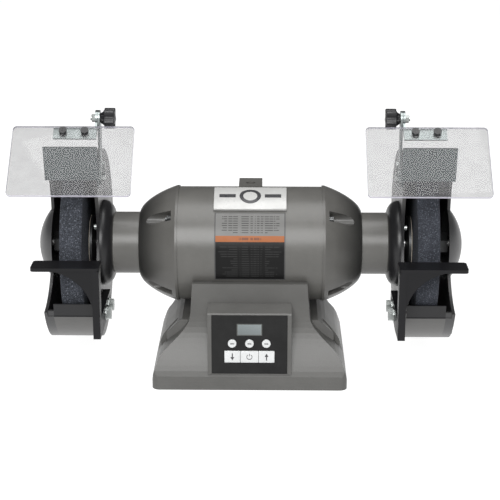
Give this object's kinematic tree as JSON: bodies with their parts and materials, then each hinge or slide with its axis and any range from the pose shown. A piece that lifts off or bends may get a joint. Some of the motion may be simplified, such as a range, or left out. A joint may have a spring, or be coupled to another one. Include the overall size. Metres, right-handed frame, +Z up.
{
  "type": "bench grinder",
  "caption": "Bench grinder with guarded wheels on a long-necked motor, tilting eye shields, sliding tool rests, spark arrestors and a speed control pod on the base.",
  "frame": {"origin": "centre of the base's four bench-bolt holes, on the bench plane", "axes": "+Z up; +X along the spindle, to the operator's right; the operator stands on the -Y side"},
  "size_m": [0.537, 0.265, 0.3233],
  "materials": {
    "painted_casting": "fine-textured enamel on cast iron",
    "dark_casting": "dark enamel",
    "zinc": "zinc-plated sheet steel",
    "steel": "plain steel",
    "lamination": "stacked laminations",
    "copper": "enamelled winding wire",
    "abrasive": "vitrified aluminium oxide",
    "paper": "blotting paper",
    "black_casting": "black enamel",
    "black_plastic": "moulded black plastic",
    "white_plastic": "white key cap",
    "clear": "clear polycarbonate",
    "board": "circuit board",
    "label": "printed aluminium",
    "badge": "moulded plate",
    "alloy": "cast heat sink",
    "screw": "plated screw"
  },
  "bodies": {
    "frame": {"base_casting": "painted_casting", "base_cover_plate": "zinc", "base_cover_screws": "screw", "vent_grilles": "black_plastic", "control_panel": "black_plastic", "display_window": "clear", "control_board": "board", "drive_unit": "alloy", "cord_gland": "black_plastic", "motor_shell": "painted_casting", "stator_core": "lamination", "stator_windings": "copper", "left_end_bell": "painted_casting", "right_end_bell": "painted_casting", "tie_bolts": "screw", "left_bearing": "steel", "right_bearing": "steel", "left_neck": "painted_casting", "right_neck": "painted_casting", "guard_screws": "screw", "left_guard_housing": "painted_casting", "right_guard_housing": "painted_casting", "left_guard_cover": "dark_casting", "right_guard_cover": "dark_casting", "left_shield_arm": "zinc", "right_shield_arm": "zinc", "arm_bolts": "screw", "rest_bolts": "screw", "accessory_lug": "painted_casting", "badge": "badge", "rating_label": "label", "saddle_bolts": "screw"},
    "spindle": {"spindle_shaft": "steel", "rotor_core": "lamination", "bearing_inner_rings": "steel", "left_wheel": "abrasive", "right_wheel": "abrasive", "wheel_flanges": "steel", "wheel_blotters": "paper", "wheel_nuts": "screw"},
    "left_arrestor": {"left_spark_arrestor": "zinc"},
    "left_shield": {"left_shield_bracket": "zinc", "left_eye_shield": "clear", "left_shield_screws": "black_plastic"},
    "left_knob": {"left_shield_knob": "black_plastic", "left_knob_stud": "screw"},
    "left_rest": {"left_tool_rest": "black_casting"},
    "right_arrestor": {"right_spark_arrestor": "zinc"},
    "right_shield": {"right_shield_bracket": "zinc", "right_eye_shield": "clear", "right_shield_screws": "black_plastic"},
    "right_knob": {"right_shield_knob": "black_plastic", "right_knob_stud": "screw"},
    "right_rest": {"right_tool_rest": "black_casting"},
    "preset_key_1_body": {"preset_key_1": "white_plastic"},
    "preset_key_2_body": {"preset_key_2": "white_plastic"},
    "preset_key_3_body": {"preset_key_3": "white_plastic"},
    "speed_down_key_body": {"speed_down_key": "white_plastic"},
    "power_key_body": {"power_key": "white_plastic"},
    "speed_up_key_body": {"speed_up_key": "white_plastic"}
  },
  "joints": [
    {"name": "spindle_spin", "type": "hinge", "parent": "frame", "child": "spindle", "pos_m": [0, 0, 0.151], "axis": [1, 0, 0], "continuous": true},
    {"name": "left_shield_tilt", "type": "hinge", "parent": "frame", "child": "left_shield", "pos_m": [-0.175, -0.04101, 0.31204], "axis": [-1, 0, 0], "range_deg": [-8, 55]},
    {"name": "left_knob_turn", "type": "hinge", "parent": "frame", "child": "left_knob", "pos_m": [-0.163, -0.04101, 0.31204], "axis": [-1, 0, 0], "range_deg": [0, 360]},
    {"name": "left_arrestor_slide", "type": "slide", "parent": "frame", "child": "left_arrestor", "axis": [0, 0.212, -0.9773], "range_m": [-0.005, 0.0015]},
    {"name": "left_rest_slide", "type": "slide", "parent": "frame", "child": "left_rest", "axis": [0, -1, 0], "range_m": [-0.001, 0.02]},
    {"name": "right_shield_tilt", "type": "hinge", "parent": "frame", "child": "right_shield", "pos_m": [0.175, -0.04101, 0.31204], "axis": [-1, 0, 0], "range_deg": [-8, 55]},
    {"name": "right_knob_turn", "type": "hinge", "parent": "frame", "child": "right_knob", "pos_m": [0.163, -0.04101, 0.31204], "axis": [1, 0, 0], "range_deg": [0, 360]},
    {"name": "right_arrestor_slide", "type": "slide", "parent": "frame", "child": "right_arrestor", "axis": [0, 0.212, -0.9773], "range_m": [-0.005, 0.0015]},
    {"name": "right_rest_slide", "type": "slide", "parent": "frame", "child": "right_rest", "axis": [0, -1, 0], "range_m": [-0.001, 0.02]},
    {"name": "preset_1_press", "type": "slide", "parent": "frame", "child": "preset_key_1_body", "axis": [0, 1, 0], "range_m": [0, 0.0006], "stiffness_N_per_m": 800},
    {"name": "preset_2_press", "type": "slide", "parent": "frame", "child": "preset_key_2_body", "axis": [0, 1, 0], "range_m": [0, 0.0006], "stiffness_N_per_m": 800},
    {"name": "preset_3_press", "type": "slide", "parent": "frame", "child": "preset_key_3_body", "axis": [0, 1, 0], "range_m": [0, 0.0006], "stiffness_N_per_m": 800},
    {"name": "speed_down_press", "type": "slide", "parent": "frame", "child": "speed_down_key_body", "axis": [0, 1, 0], "range_m": [0, 0.0006], "stiffness_N_per_m": 800},
    {"name": "power_press", "type": "slide", "parent": "frame", "child": "power_key_body", "axis": [0, 1, 0], "range_m": [0, 0.0006], "stiffness_N_per_m": 800},
    {"name": "speed_up_press", "type": "slide", "parent": "frame", "child": "speed_up_key_body", "axis": [0, 1, 0], "range_m": [0, 0.0006], "stiffness_N_per_m": 800}
  ]
}
